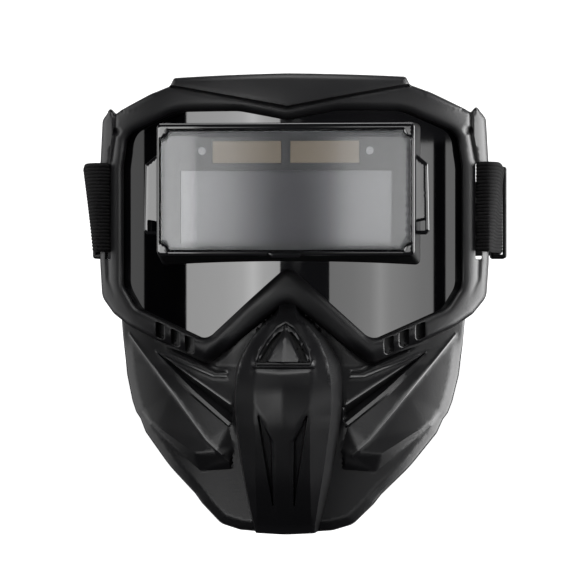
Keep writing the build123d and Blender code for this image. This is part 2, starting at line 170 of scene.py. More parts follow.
def lip(d, width, depth):
    """Drop of a rounded edge at distance d from it."""
    t = np.clip(d / width, 0, 1)
    return depth * (1 - np.sqrt(np.maximum(0, 1 - (1 - t) ** 2)))


def smooth(t):
    t = np.clip(t, 0, 1)
    return t * t * (3 - 2 * t)


# ------------------------------------------------------------------ meshing
def region(outer, holes=(), rings=(), lines=(), step=1.2):
    """Triangulates a flat region.  rings is a list of (loop, [distances])
    to sample rounded edges, measured into the region."""
    verts, edges = [], []

    def put(loop, closed=True):
        base, n = len(verts), len(loop)
        verts.extend((p[0], p[1]) for p in loop)
        edges.extend((base + i, base + (i + 1) % n) for i in range(n if closed else n - 1))

    put(outer)
    for h in holes:
        put(h)
    bounds = [outer] + list(holes)
    for loop, ds in rings:
        sign = -1 if loop is outer else 1
        for d in ds:
            ring = shift(loop, sign * d)
            arr = np.array(ring)
            ok = inside(arr, outer)
            for h in holes:
                ok &= ~inside(arr, h)
            for b in bounds:
                ok &= dist(arr, b) > d * 0.93
            pts = [ring[i] for i in range(len(ring)) if ok[i]]
            base = len(verts)
            verts.extend(pts)
            idx = np.cumsum(ok) - 1
            for i in range(len(ring)):
                j = (i + 1) % len(ring)
                if ok[i] and ok[j]:
                    edges.append((base + int(idx[i]), base + int(idx[j])))
    for line in lines:
        put(dense([p[:2] for p in line], step * 0.7, False), False)
    fixed = np.array(verts)
    lo, hi = np.array(outer).min(0), np.array(outer).max(0)
    gx = np.arange(lo[0], hi[0], step)
    gz = np.arange(lo[1], hi[1], step * 0.866)
    grid = np.array([(x + (k % 2) * step / 2, z) for k, z in enumerate(gz) for x in gx])
    ok = inside(grid, outer)
    for h in holes:
        ok &= ~inside(grid, h)
    grid = grid[ok]
    # keep the grid clear of everything already placed
    cell = {}
    for p in fixed:
        cell.setdefault((int(p[0] // step), int(p[1] // step)), []).append(p)
    keep = []
    for g in grid:
        cx, cz = int(g[0] // step), int(g[1] // step)
        if not any((q[0] - g[0]) ** 2 + (q[1] - g[1]) ** 2 < (0.55 * step) ** 2
                   for i in (-1, 0, 1) for j in (-1, 0, 1) for q in cell.get((cx + i, cz + j), ())):
            keep.append((g[0], g[1]))
    pts = [Vector(p) for p in verts + keep]
    vo, _, faces, *_ = geometry.delaunay_2d_cdt(pts, edges, [], 0, 1e-5)
    v2 = np.array([(p.x, p.y) for p in vo])
    tri = np.array([f for f in faces if len(f) == 3])
    mid = v2[tri].mean(1)
    ok = inside(mid, outer)
    for h in holes:
        ok &= ~inside(mid, h)
    tri = tri[ok]
    # every face counter-clockwise seen from the front
    a, b, c = v2[tri[:, 0]], v2[tri[:, 1]], v2[tri[:, 2]]
    cr = (b[:, 0] - a[:, 0]) * (c[:, 1] - a[:, 1]) - (b[:, 1] - a[:, 1]) * (c[:, 0] - a[:, 0])
    tri[cr < 0] = tri[cr < 0][:, ::-1]
    tri = tri[np.abs(cr) > 1e-9]
    used = np.unique(tri)
    remap = -np.ones(len(v2), int)
    remap[used] = np.arange(len(used))
    return v2[used], remap[tri]


def rim_edges(tri):
    """Directed boundary edges of a triangulation."""
    seen = dict.fromkeys((int(t[k]), int(t[(k + 1) % 3])) for t in tri for k in range(3))
    return [e for e in seen if e[::-1] not in seen]


def link(name, data):
    ob = bpy.data.objects.new(name, data)
    bpy.context.scene.collection.objects.link(ob)
    return ob


def second_material(ob, mat, chosen):
    """Gives the chosen polygons, a boolean for each, a second material."""
    ob.data.materials.append(mat)
    ob.data.polygons.foreach_set("material_index", np.asarray(chosen, dtype=np.int32))


def centres(ob):
    """x and z of every polygon's centre, mm."""
    return np.array([(q.center.x, q.center.z) for q in ob.data.polygons]) / MM


def make(name, verts, faces, mat=None, sharp=35.0, body=None, replaces=None):
    """Object from millimetre vertices; smooth faces with sharp edges by angle."""
    me = bpy.data.meshes.new(name)
    me.from_pydata([(x * MM, y * MM, z * MM) for x, y, z in verts], [], faces)
    me.validate()
    bm = bmesh.new()
    bm.from_mesh(me)
    bmesh.ops.remove_doubles(bm, verts=bm.verts, dist=1e-7)
    bmesh.ops.recalc_face_normals(bm, faces=bm.faces)
    bm.to_mesh(me)
    bm.free()
    me.polygons.foreach_set("use_smooth", [True] * len(me.polygons))
    me.set_sharp_from_angle(angle=math.radians(sharp))
    me.update()
    ob = link(name, me)
    if mat:
        me.materials.append(mat)
    if body:
        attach(ob, body)
    if replaces:
        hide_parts(*([replaces] if isinstance(replaces, str) else replaces))
    return ob


def plate(v2, tri, yf, yb):
    """Closed solid between a front and a back surface over one region."""
    n = len(v2)
    verts = [(v2[i, 0], yf[i], v2[i, 1]) for i in range(n)]
    verts += [(v2[i, 0], yb[i], v2[i, 1]) for i in range(n)]
    faces = [tuple(int(k) for k in t) for t in tri]
    faces += [tuple(int(k) + n for k in t[::-1]) for t in tri]
    for a, b in rim_edges(tri):
        faces.append((a, a + n, b + n, b))
    return verts, faces


def merge(*parts):
    verts, faces = [], []
    for v, f in parts:
        base = len(verts)
        verts.extend(v)
        faces.extend([tuple(i + base for i in q) for q in f])
    return verts, faces


def drum_y(radius, x):
    """Front of an upright cylinder about the common axis."""
    return AXIS_Y - np.sqrt(np.maximum(radius * radius - x * x, 1.0))


def rbox(x0, x1, y0, y1, z0, z1, r):
    """Box with bevelled edges as (verts, faces), mm."""
    bm = bmesh.new()
    bmesh.ops.create_cube(bm, size=1.0)
    for v in bm.verts:
        v.co = Vector(((x0 + x1) / 2 + v.co.x * (x1 - x0), (y0 + y1) / 2 + v.co.y * (y1 - y0),
                       (z0 + z1) / 2 + v.co.z * (z1 - z0)))
    bmesh.ops.bevel(bm, geom=list(bm.edges), offset=r, segments=1, profile=0.5,
                    affect='EDGES', clamp_overlap=True)
    bm.verts.index_update()
    v = [tuple(p.co) for p in bm.verts]
    f = [tuple(q.index for q in p.verts) for p in bm.faces]
    bm.free()
    return v, f


# ------------------------------------------------------------------ materials
def setup(nd, **inputs):
    """Sets a shader node's inputs by their names, with _ for a space."""
    for key, value in inputs.items():
        nd.inputs[key.replace("_", " ")].default_value = value
    return nd


def add(nt, kind, **inputs):
    return setup(nt.nodes.new("ShaderNode" + kind), **inputs)


def principled(name, colour, **inputs):
    """New material, its node tree and its main node."""
    m = bpy.data.materials.new(name)
    m.use_nodes = True
    nt = m.node_tree
    return m, nt, setup(nt.nodes["Principled BSDF"], Base_Color=(*colour, 1), **inputs)


def vary(nt, p, noise_node, **span):
    """Roughness that follows the noise over the given span."""
    mr = add(nt, "MapRange", **span)
    nt.links.new(noise_node.outputs["Fac"], mr.inputs["Value"])
    nt.links.new(mr.outputs["Result"], p.inputs["Roughness"])


def material(name, colour, rough, spec=0.5, grain=0.0, grain_size=900.0,
             mottle=0.0, rough_var=0.0, metal=0.0, sheen=0.0):
    """Principled material with procedural grain, mottling and uneven gloss."""
    m, nt, p = principled(name, colour, Roughness=rough, Specular_IOR_Level=spec,
                          Metallic=metal, Sheen_Weight=sheen)
    tc = add(nt, "TexCoord")
    if grain:
        no = add(nt, "TexNoise", Scale=grain_size, Detail=3.0)
        bp = add(nt, "Bump", Strength=grain, Distance=0.0003)
        nt.links.new(tc.outputs["Object"], no.inputs["Vector"])
        nt.links.new(no.outputs["Fac"], bp.inputs["Height"])
        nt.links.new(bp.outputs["Normal"], p.inputs["Normal"])
    if mottle or rough_var:
        n2 = add(nt, "TexNoise", Scale=45.0, Detail=4.0)
        nt.links.new(tc.outputs["Object"], n2.inputs["Vector"])
        if mottle:
            cr = add(nt, "ValToRGB")
            for stop, at, gain in zip(cr.color_ramp.elements, (0.3, 0.7), (1 - mottle, 1 + mottle)):
                stop.position = at
                stop.color = (*[c * gain for c in colour], 1)
            nt.links.new(n2.outputs["Fac"], cr.inputs["Fac"])
            nt.links.new(cr.outputs["Color"], p.inputs["Base Color"])
        if rough_var:
            vary(nt, p, n2, From_Min=0.3, From_Max=0.7, To_Min=rough - rough_var, To_Max=rough + rough_var)
    return m


M_FRAME = material("frame_soft_touch", (0.0062, 0.0061, 0.0070), 0.42, 0.48,
                   grain=0.12, mottle=0.12, rough_var=0.04)
M_MASK = material("mask_satin", (0.0046, 0.0045, 0.0052), 0.34, 0.40,
                  grain=0.10, mottle=0.12, rough_var=0.03)
# painted highlight: a lighter, glossier copy of the mask material for the beads and the louvre lip
M_MASK_HIGHLIGHT = material("mask_painted_highlight", (0.006, 0.006, 0.0066), 0.32, 0.65, mottle=0.12, rough_var=0.03)
M_SIDE = material("holder_moulded_side", (0.006, 0.006, 0.0065), 0.36, 0.30,
                  grain=0.10, mottle=0.12, rough_var=0.04)
# painted highlight: a lighter, glossier copy of the mask material, so the vent cover reads as catching the
# top light
M_COVER_HIGHLIGHT = material("vent_cover_painted_highlight", (0.0075, 0.0074, 0.0082), 0.30, 0.60, grain=0.08, mottle=0.10)
M_GLOSS = material("holder_gloss", (0.004, 0.004, 0.0045), 0.05, 1.0,
                   grain=0.01, grain_size=60, rough_var=0.015)
M_SHIELD = material("shield_gloss", (0.002, 0.002, 0.0025), 0.035, 1.0, rough_var=0.01)
M_CASE = material("cartridge_case", (0.02, 0.02, 0.022), 0.3, 0.6, grain=0.08, mottle=0.1)
M_SOLAR = material("solar_cell", (0.25, 0.205, 0.155), 0.35, 0.3, mottle=0.06)
M_SENSOR = material("sensor_lens", (0.33, 0.33, 0.34), 0.3, 0.5, mottle=0.05)
M_BOARD = material("circuit_board", (0.02, 0.09, 0.04), 0.45, 0.5, mottle=0.2)
M_STEEL = material("cell_steel", (0.55, 0.55, 0.56), 0.3, 0.5, metal=1.0, rough_var=0.08)
# foam, also used as painted shade on the floors of the vent-cover slots
M_FOAM_AND_SLOT_SHADE = material("open_foam_and_slot_shade", (0.012, 0.012, 0.012), 0.95, 0.2, grain=0.9, grain_size=1400, mottle=0.3)
M_FLEECE = material("fleece", (0.02, 0.02, 0.021), 0.95, 0.2,
                    grain=0.8, grain_size=2200, mottle=0.25, sheen=0.4)
M_PAD = material("filter_felt", (0.55, 0.55, 0.53), 0.95, 0.2,
                 grain=0.9, grain_size=1800, mottle=0.08, sheen=0.3)
M_RUBBER = material("rubber", (0.01, 0.01, 0.01), 0.7, 0.3, grain=0.2, mottle=0.1)
M_WEB = material("webbing", (0.0075, 0.0072, 0.0076), 0.85, 0.15,
                 grain=0.8, grain_size=2600, mottle=0.25, sheen=0.04)
M_SLIDER = material("slider_plastic", (0.007, 0.007, 0.0075), 0.38, 0.35, grain=0.1, mottle=0.1)
M_SILICONE = material("silicone_bead", (0.03, 0.03, 0.032), 0.35, 0.5, mottle=0.1)
M_LCD = material("lcd_window", (0.078, 0.076, 0.084), 0.10, 1.0, mottle=0.03)


def glass_material():
    m, nt, p = principled("clear_polycarbonate", (0.93, 0.94, 0.95), Roughness=0.03, IOR=1.5,
                          Specular_IOR_Level=1.0, Transmission_Weight=1.0)
    tc = add(nt, "TexCoord")
    no = add(nt, "TexNoise", Scale=18.0)
    nt.links.new(tc.outputs["Object"], no.inputs["Vector"])
    vary(nt, p, no, To_Min=0.02, To_Max=0.06)
    return m


M_CLEAR = glass_material()

# ------------------------------------------------------------------ frame
FRAME = full([
    (0, 52.0, 0), (51.3, 51.2, 1.6), (53.0, 47.8, 1.5), (62.5, 44.6, 12), (80.0, 37.0, 0.8),
    (82.6, 39.6, 1.0), (87.0, 34.5, 4.0), (88.3, 12.0, 40), (88.3, -30.0, 30), (87.2, -46.0, 8),
    (81.0, -53.5, 6), (73.0, -59.0, 20), (36.0, -76.0, 6), (20.0, -63.5, 20), (0, -47.5, 5)])
OPEN = full([
    (0, 31.5, 6), (22.0, 35.8, 25), (50.0, 36.2, 25), (73.6, 27.2, 8), (76.0, 12.0, 20),
    (76.0, -41.0, 10), (69.5, -51.0, 8), (36.5, -65.0, 7), (17.5, -47.6, 25), (0, -32.0, 5)])
BROW_LINE = [(-52.4, 47.2), (-30, 42.6), (0, 36.7), (30, 42.6), (52.4, 47.2)]


def build_frame():
    outer = rounded(FRAME, step=0.8)
    lens = rounded(OPEN, step=0.8)
    holes = [lens]
    for s in (-1, 1):
        strap_slot = [(82.2, 14.0), (85.0, 14.0), (85.0, -29.0), (82.2, -29.0)]
        holes.append(rounded(mirrored(s, strap_slot), 0.8, step=0.8))
        for x, zt, zb in ((42.0, -64.4, -71.6), (48.6, -61.5, -68.6), (55.8, -58.4, -65.4)):
            vent = [(x, zt, 0.4), (x + 3.9, zt + 1.6, 0.4), (x + 3.9, zb + 1.9, 1.2), (x, zb, 1.2)]
            holes.append(rounded(mirrored(s, vent), step=0.6))
    groove = [[(x, z + d) for x, z in BROW_LINE] for d in (-0.75, 0, 0.75)]
    rings = [(outer, [0.25, 0.6, 1.1, 1.8, 2.6]), (lens, [0.25, 0.7, 1.4, 2.3, 3.4])]
    rings += [(h, [0.25, 0.6]) for h in holes[1:]]
    for s in (-1, 1):
        for d in (-1.5, -0.7, 0, 0.7, 1.5):
            groove.append([(s * (80.2 + d), 36.0), (s * (80.2 + d), 26.0), (s * (82.0 + d), 15.5)])
            groove.append([(s * (83.6 + d), -30.5), (s * (83.2 + d), -38.0), (s * (80.0 + d), -46.0)])
        for r in (0.8, 1.6, PIN_R):
            groove.append(arc(s * PIN[0], PIN[1], r, 0, 2 * math.pi, 16))
    v2, tri = region(outer, holes, rings, groove, 1.25)
    x, z = v2[:, 0], v2[:, 1]
    ax = np.abs(x)
    y = drum_y(R_FRONT, x)
    d_out, d_in = dist(v2, outer), dist(v2, lens)
    # nose bridge stands a little forward
    y -= BRIDGE_PROUD * np.exp(-(ax / 20) ** 2 - ((z + 46) / 13) ** 2)
    # proud brow plate above its groove
    brow_z = np.interp(ax, [0, 30, 52.4], [36.7, 42.6, 47.2])
    over = smooth((z - brow_z) / 0.9 + 0.5) * (ax < 53.5)
    y -= BROW_PROUD * over
    near = np.clip(1 - np.abs(z - brow_z) / 0.85, 0, 1) * (ax < 52.5)
    y += 1.3 * near
    # rounded edges: wide roll into the lens, softer roll outside
    y += lip(d_in, 3.6 + 0.6 * (z > 20), 3.0)
    y += lip(d_out, 2.6, 2.3)
    for h in holes[1:]:
        y += lip(dist(v2, h), 0.6, 0.5)
    # facet along the lower edge of the two lobes
    low = (z < -50) & (ax > 20)
    w = smooth((ax - 24) / 8) * smooth((60 - ax) / 8)
    y += np.where(low, w * 0.75 * np.clip(4.4 - d_out, 0, 4.4), 0)
    # crease between rim and wing, from the notch down to the slot and below it
    line = [(80.2, 37.5), (80.2, 26), (82.0, 14.5)]
    for s in (-1, 1):
        d1 = dist(v2, mirrored(s, line), False)
        y += 1.6 * np.clip(1 - d1 / 1.5, 0, 1) ** 1.2
        d2 = dist(v2, [(s * 83.6, -29), (s * 83.2, -38), (s * 80, -46)], False)
        fade = smooth((z + 48) / 16)
        y += 1.0 * fade * np.clip(1 - d2 / 1.6, 0, 1)
        d3 = dist(v2, [(s * PIN[0], PIN[1])] * 2, False)
        y += 2.2 * np.clip(1 - d3 / PIN_R, 0, 1)
    # soft crown across the band, and a brow that leans back
    y += np.where(z < 38, lip(d_out, 8.0, 1.5), 0)
    y += 0.007 * np.clip(z - 38, 0, 20) ** 2 * (ax < 60)
    front = plate(v2, tri, y, np.maximum(drum_y(R_PLATE, x), y + 0.6))
    # rear rim behind the plate, around the opening
    rim_o = shift(lens, 5.5)
    r2, rt = region(rim_o, [lens], [(rim_o, [0.4])], (), 2.2)
    ry = drum_y(R_PLATE - 0.05, r2[:, 0])
    rear = plate(r2, rt, ry, drum_y(R_REAR, r2[:, 0]))
    v, f = merge(front, rear)
    make("goggle_frame_shell", v, f, M_FRAME, 40, "goggle", "goggle_frame")
    # perforated screens behind the lower vents
    for s, side in ((1, "left"), (-1, "right")):
        rim = [(40.4, -60.0), (61.2, -52.6), (61.2, -66.0), (40.4, -72.4)]
        rim = rounded(mirrored(s, rim), 1, step=0.8)
        pores = []
        for i in range(9):
            for j in range(6):
                px, pz = 42.4 + 2.1 * i, -61.6 - 1.7 * j + 0.36 * 2.1 * i
                if pz > -71.2 + 0.3 * (px - 42):
                    pores.append(arc(s * px, pz, 0.45, 0, 2 * math.pi, 6)[:6])
        sv, st = region(rim, [ccw(p) for p in pores], [], (), 1.4)
        sy = drum_y(R_PLATE - 0.15, sv[:, 0])
        bv, bt = region(rim, [], [], (), 2.0)
        by = drum_y(R_PLATE - 0.15, bv[:, 0]) + 0.7
        v, f = merge(plate(sv, st, sy, sy + 0.4), plate(bv, bt, by, by + 0.3))
        make("lower_vent_screen_" + side, v, f, M_FRAME, 40, "goggle", None)


build_frame()


# ------------------------------------------------------------------ shield
def build_shield():
    lens = rounded(OPEN, step=0.8)
    outer = shift(lens, 2.8)
    win = rounded([(-50, 22), (50, 22), (50, -22), (-50, -22)], 2.0, 1.0)
    v2, tri = region(outer, [win], [(outer, [0.4])], (), 1.4)
    y = drum_y(R_LENS, v2[:, 0])
    v, f = plate(v2, tri, y, drum_y(R_LENS - 2, v2[:, 0]))
    make("shield_shell", v, f, M_SHIELD, 50, "goggle", "lens_shield")


build_shield()


# ------------------------------------------------------------------ holder
def scooped(w, h, r):
    """Rectangle whose corners are scooped by circles of radius r."""
    pts = []
    cx, cz = BOSS
    for sx, sz in ((1, 1), (-1, 1), (-1, -1), (1, -1)):
        # circle about the boss, from one side of the rectangle to the other
        x_side = math.sqrt(max(r * r - (h / 2 - cz) ** 2, 0.0))
        z_side = math.sqrt(max(r * r - (w / 2 - cx) ** 2, 0.0))
        p_top = (cx - x_side, h / 2)
        p_side = (w / 2, cz - z_side)
        a0 = math.atan2(p_side[1] - cz, p_side[0] - cx)
        a1 = math.atan2(p_top[1] - cz, p_top[0] - cx)
        if a1 > 0:
            a1 -= 2 * math.pi
        scoop = [(sx * x, sz * z) for x, z in arc(cx, cz, r, a0, a1, 8)]
        pts += scoop[::-1] if sx * sz < 0 else scoop
    return ccw(dense(pts, 0.5))


def build_holder():
    outer = rounded([(-55.5, 29.1), (55.5, 29.1), (55.5, -28.1), (-55.5, -28.1)], 2.2, 0.7)
    hole = scooped(108.8, 52.0, 3.55)
    notch = rounded([(-8.6, -26.6), (8.6, -26.6), (6.4, -28.9), (-6.4, -28.9)], 0.4, 0.5)
    v2, tri = region(outer, [hole], [(outer, [0.15, 0.4, 0.8]), (hole, [0.12, 0.3])], (), 0.9)
    y = np.full(len(v2), FRONT)
    y = y + lip(dist(v2, outer), 0.8, 0.8) + lip(dist(v2, hole), 0.3, 0.3)
    y = y + np.where(inside(v2, notch), 0.9, 0.0)
    n = len(v2)
    verts = [(v2[i, 0], y[i], v2[i, 1]) for i in range(n)]
    faces = [tuple(int(k) for k in t) for t in tri]
    edges = rim_edges(tri)
    rim = sorted({a for a, b in edges} | {b for a, b in edges})
    arr = v2[rim]
    is_outer = dist(arr, outer) < 0.02
    levels = {}
    K = 8
    for q, i in enumerate(rim):
        px, pz = v2[i]
        chain = [i]
        for k in range(1, K + 1):
            t = k / K
            if is_outer[q]:
                yl = float(drum_y(R_LENS + 0.15, np.array([px * 1.03]))[0])
                yy = y[i] + (yl - y[i]) * t
                g = (yy - FRONT) / 40.0
                qx = px * (1 + g * 2.5 / 55.5)
                qz = pz * (1 + g * (2.4 / 29.1 if pz > 0 else 4.2 / 28.1))
            else:
                yl = -50.2
                yy = y[i] + (yl - y[i]) * t
                qx, qz = px, pz
            verts.append((qx, yy, qz))
            chain.append(len(verts) - 1)
        levels[i] = chain
    for a, b in edges:
        ca, cb = levels[a], levels[b]
        for k in range(K):
            faces.append((ca[k], ca[k + 1], cb[k + 1], cb[k]))
    # rear face: ring between the last levels, by the same triangulation
    last = {}
    for i in range(n):
        if i in levels:
            last[i] = levels[i][-1]
        else:
            px, pz = v2[i]
            verts.append((px, -49.0, pz))
            last[i] = len(verts) - 1
    faces += [tuple(last[int(k)] for k in t[::-1]) for t in tri]
    parts = [(verts, faces)]
    # side ears, chamfered at both ends, with an open hollow low down
    for s in (-1, 1):
        ear = [(54.4, 15.6), (56.4, 15.6), (61.2, 11.6), (61.8, -17.0), (60.6, -18.6), (54.4, -18.6)]
        ear = rounded(mirrored(s, ear), 0.9, 0.5)
        pit = rounded(mirrored(s, [(56.0, -13.2), (60.0, -12.4), (60.0, -17.2), (56.0, -17.2)]), 0.5, 0.4)
        ev, et = region(ear, [pit], [(ear, [0.15, 0.4, 0.8]), (pit, [0.2])], (), 0.7)
        ey = -59.0 + lip(dist(ev, ear), 1.1, 1.2) + lip(dist(ev, pit), 0.3, 0.3)
        parts.append(plate(ev, et, ey, np.full(len(ev), -45.0)))
    # rear ledge around the sight window
    for b in ((-54, 54, -50.6, -48.6, 20.5, 25.8), (-54, 54, -50.6, -48.6, -25.8, -20.5),
              (-54, -49, -50.6, -48.6, -21, 21), (49, 54, -50.6, -48.6, -21, 21)):
        parts.append(rbox(*b, r=0.3))
    v, f = merge(*parts)
    ob = make("filter_holder_shell", v, f, M_GLOSS, 35, "filter_unit", "filter_holder")
    # polished in front, plain moulded on the sides and the back
    second_material(ob, M_SIDE, [q.normal.y > -0.25 and q.center.y > POLISH_BACK for q in ob.data.polygons])
    # latch
    lv, lt = region(notch, [], [(notch, [0.15, 0.35])], (), 0.8)
    ly = np.full(len(lv), FRONT + 0.25) + lip(dist(lv, notch), 0.35, 0.35)
    v, f = plate(lv * np.array([0.93, 1.0]), lt, ly, np.full(len(lv), -62.6))
    make("cover_latch_tab", v, f, M_GLOSS, 35, "filter_unit", "cover_latch")
    # clear plate
    pl = scooped(108.0, 51.2, 3.95)
    pv, pt = region(pl, [], [(pl, [0.12, 0.25])], (), 2.0)
    py = np.full(len(pv), PLATE_FRONT) + lip(dist(pv, pl), 0.25, 0.2)
    v, f = plate(pv, pt, py, np.full(len(pv), PLATE_FRONT + 1.0))
    make("cover_plate_clear", v, f, M_CLEAR, 35, "plate", "cover_plate")


build_holder()


# ------------------------------------------------------------------ jaw mask
JAW = full([
    (0, -44.5, 3), (20.0, -60.5, 12), (36.0, -73.0, 5), (73.0, -56.0, 20), (77.8, -52.6, 1),
    (76.5, -67.0, 20), (74.7, -81.0, 20), (71.8, -92.5, 8), (69.8, -97.5, 4), (67.6, -100.3, 2),
    (64.9, -106.2, 6), (53.0, -120.5, 60), (40.8, -131.9, 3), (37.5, -136.0, 2), (28.7, -144.3, 7),
    (20.0, -146.7, 8), (0, -147.9, 60)])
# hood: rows of (z, half-width) for its crest and base, (z, y) for its front
CREST = [(-53.5, 4.0), (-58.0, 9.5), (-64.0, 14.5), (-73.0, 18.8), (-82.0, 20.4), (-96.0, 20.3),
         (-120.0, 17.0), (-147.0, 12.4)]
BASE = [(-48.6, 6.0), (-64.6, 18.0), (-76.0, 24.6), (-96.0, 25.2), (-120.0, 22.6), (-147.0, 17.4)]
HOOD_FRONT = [(-44.0, -43.0), (-50.0, -48.5), (-54.5, -56.5), (-57.0, -60.0), (-73.5, -77.0), (-84.0, -81.2),
              (-100.0, -82.2), (-125.0, -79.2), (-145.0, -70.0), (-152.0, -60.0)]
ARCH = [(0, -56.9), (3.4, -59.0), (7.0, -63.4), (9.9, -68.6), (11.7, -73.6)]
PANEL = 11.6           # half-width of the flat panel of the hood


def along(table, z, ease=True):
    """Value at height z from (z, value) rows that run downwards, eased where
    the rows change direction."""
    zs = np.array([r[0] for r in table])[::-1]
    vs = np.array([r[1] for r in table])[::-1]
    if not ease:
        return np.interp(z, zs, vs)
    out = 0.0
    wide = 5.0 * smooth((-66.0 - z) / 14.0) + 0.4
    for k in range(-4, 5):
        out = out + np.interp(z + wide * k / 4.0, zs, vs)
    return out / 9.0


class Facets:
    """Low relief given at a few control points, flat between them."""

    def __init__(self, pts, edges):
        v, _, f, *_ = geometry.delaunay_2d_cdt([Vector(p[:2]) for p in pts], edges, [], 0, 1e-5)
        src = np.array([p[:2] for p in pts], float)
        h = np.array([p[2] for p in pts], float)
        self.v = np.array([(p.x, p.y) for p in v])
        self.h = np.array([h[np.argmin(((src - q) ** 2).sum(1))] for q in self.v])
        self.f = [t for t in f if len(t) == 3]

    def at(self, x, z):
        out = np.zeros(len(x))
        for t in self.f:
            a, b, c = self.v[t[0]], self.v[t[1]], self.v[t[2]]
            den = (b[1] - c[1]) * (a[0] - c[0]) + (c[0] - b[0]) * (a[1] - c[1])
            if abs(den) < 1e-9:
                continue
            u = ((b[1] - c[1]) * (x - c[0]) + (c[0] - b[0]) * (z - c[1])) / den
            v = ((c[1] - a[1]) * (x - c[0]) + (a[0] - c[0]) * (z - c[1])) / den
            w = 1 - u - v
            m = (u > -1e-6) & (v > -1e-6) & (w > -1e-6)
            out[m] = (u * self.h[t[0]] + v * self.h[t[1]] + w * self.h[t[2]])[m]
        return out


# cheek relief: x, z, height
RELIEF_PTS = [
    (0, -40, 0), (95, -40, 0), (95, -160, 0), (0, -160, 0),
    # 4-9 ridge, top to tip
    (73.4, -62.5, 0.0), (62.0, -76.5, 1.0), (52.0, -88.5, 1.9), (35.5, -108.7, 3.2), (28.4, -114.6, 3.2),
    (25.2, -118.0, 2.2),
    # 10-13 lower edge of the blade, 14-17 foot of its side faces
    (30.8, -112.4, 3.7), (40.5, -114.3, 3.6), (59.2, -103.0, 1.5), (67.0, -97.0, 0.2),
    (24.6, -120.8, 0.0), (38.2, -122.0, 0.0), (50.0, -113.0, 0.0), (60.2, -104.4, 0.0),
    # 18-22 line between louvre and blade
    (23.6, -111.0, 0.0), (26.2, -102.6, 0.2), (44.0, -89.0, 0.5), (58.6, -74.2, 0.6), (65.0, -67.0, 0.1),
    # 23-25 upper edge of the louvre, 26-28 its trough, 29-31 its lower edge
    (60.6, -69.8, 0.1), (43.0, -81.4, 0.5), (24.4, -93.6, 0.7),
    (58.0, -72.0, -0.9), (42.0, -84.4, -2.6), (25.2, -97.0, -3.2),
    (59.0, -71.7, 0.2), (42.0, -87.2, 0.8), (25.0, -100.9, 1.0),
    # 32-33 end wall, 34-36 flat under the hood, 37-38 floor of the trough
    (24.1, -93.9, 0.7), (24.1, -101.8, 0.8),
    (22.0, -85.0, 0.0), (22.0, -101.8, 0.0), (21.0, -130.0, 0.0),
    (25.0, -98.2, -2.2), (43.5, -84.6, -1.6),
    # 39-41 front of the louvre's bevelled lip
    (59.7, -72.4, 0.45), (43.0, -88.3, 1.3), (25.9, -102.0, 1.5)]
RELIEF_CHAINS = [
    (4, 5, 6, 7, 8, 9), (10, 11, 12, 13), (14, 15, 16, 17, 13), (9, 14), (11, 15), (7, 10), (8, 10),
    (18, 19, 20, 21, 22, 4), (23, 24, 25), (26, 27, 28), (29, 30, 31), (25, 32), (31, 33), (32, 33),
    (23, 26, 29), (39, 40, 41), (29, 39), (31, 41)]
RELIEF_EDGES = [e for chain in RELIEF_CHAINS for e in zip(chain, chain[1:])]
RIDGE = [RELIEF_PTS[i][:2] for i in (4, 5, 6, 7, 8)]
LOUVRE_TOP = [RELIEF_PTS[i][:2] for i in (23, 24, 25)]
LOUVRE_LIP = [RELIEF_PTS[i][:2] for i in (29, 30, 31, 41, 40, 39)]
HIGHLIGHT_STRIP = 0.6           # half-width of the painted highlight strip along a bead
FLOW = [[(52.5, -70.0), (34.6, -77.8), (31.8, -78.9), (27.6, -78.7)],
        [(57.6, -71.2), (33.2, -80.9), (27.4, -81.0)]]
GROOVE = [(10.8, -95.0), (4.7, -106.6), (4.2, -136.0), (6.3, -124.0)]


def cheek(ax, z, inset=0.0):
    t = np.clip((-76 - z) / 76.0, 0, 1)
    r = 119.4 + (98.0 - 119.4) * t - inset
    cy = 76.0 + (38.0 - 76.0) * t
    return cy - np.sqrt(np.maximum(r * r - ax * ax, 400.0))


def hood_nose(z, ax=0.0):
    """Side profile of the hood, eased where it bends below the vent cover
    and on both sides of it."""
    zs = np.arange(-160.0, -40.0, 0.5)
    raw = along(HOOD_FRONT, zs, False)
    k = np.ones(25) / 25
    soft = np.convolve(np.pad(raw, 24, mode='edge'), np.convolve(k, k), mode='valid')
    soft = soft[:len(zs)]
    w = np.maximum(smooth((-76.0 - z) / 6.0), smooth((ax - 11.8) / 2.5) * smooth((-62.0 - z) / 5.0))
    return np.interp(z, zs, raw) * (1 - w) + np.interp(z, zs, soft) * w


def hood(ax, z, inset=0.0):
    c = np.maximum(along(CREST, z) - inset, 0.5)
    b = along(BASE, z) - inset
    yf = hood_nose(z, ax) + inset
    flat = np.interp(z, [-76, -66, -57], [PANEL, 10.4, 5.6])
    t = np.clip((ax - flat) / np.maximum(c - flat, 2.0), 0, 1)
    drop = np.interp(z, [-147, -125, -96, -80, -72, -64, -57], [0.8, 3.4, 5.6, 4.6, 3.9, 2.6, 1.2])
    yc = yf + drop
    side = yc + (-30.0 - yc) * (ax - c) / np.maximum(b - c, 1.0)
    return np.where(ax <= c, yf + drop * t, side)


def hood_foot(sx):
    """Line where the side of the hood meets the cheek, top to bottom."""
    out = []
    zs = np.arange(-62.0, -149.5, -1.2)
    for z in zs:
        c, b = float(along(CREST, np.array([z]))[0]), float(along(BASE, np.array([z]))[0])
        xs = np.linspace(c, b + 4.0, 200)
        d = hood(xs, np.full(200, z)) - (cheek(xs, np.full(200, z)))
        k = int(np.argmax(d > 0))
        if k:
            out.append((sx * float(xs[k]), float(z)))
    return out


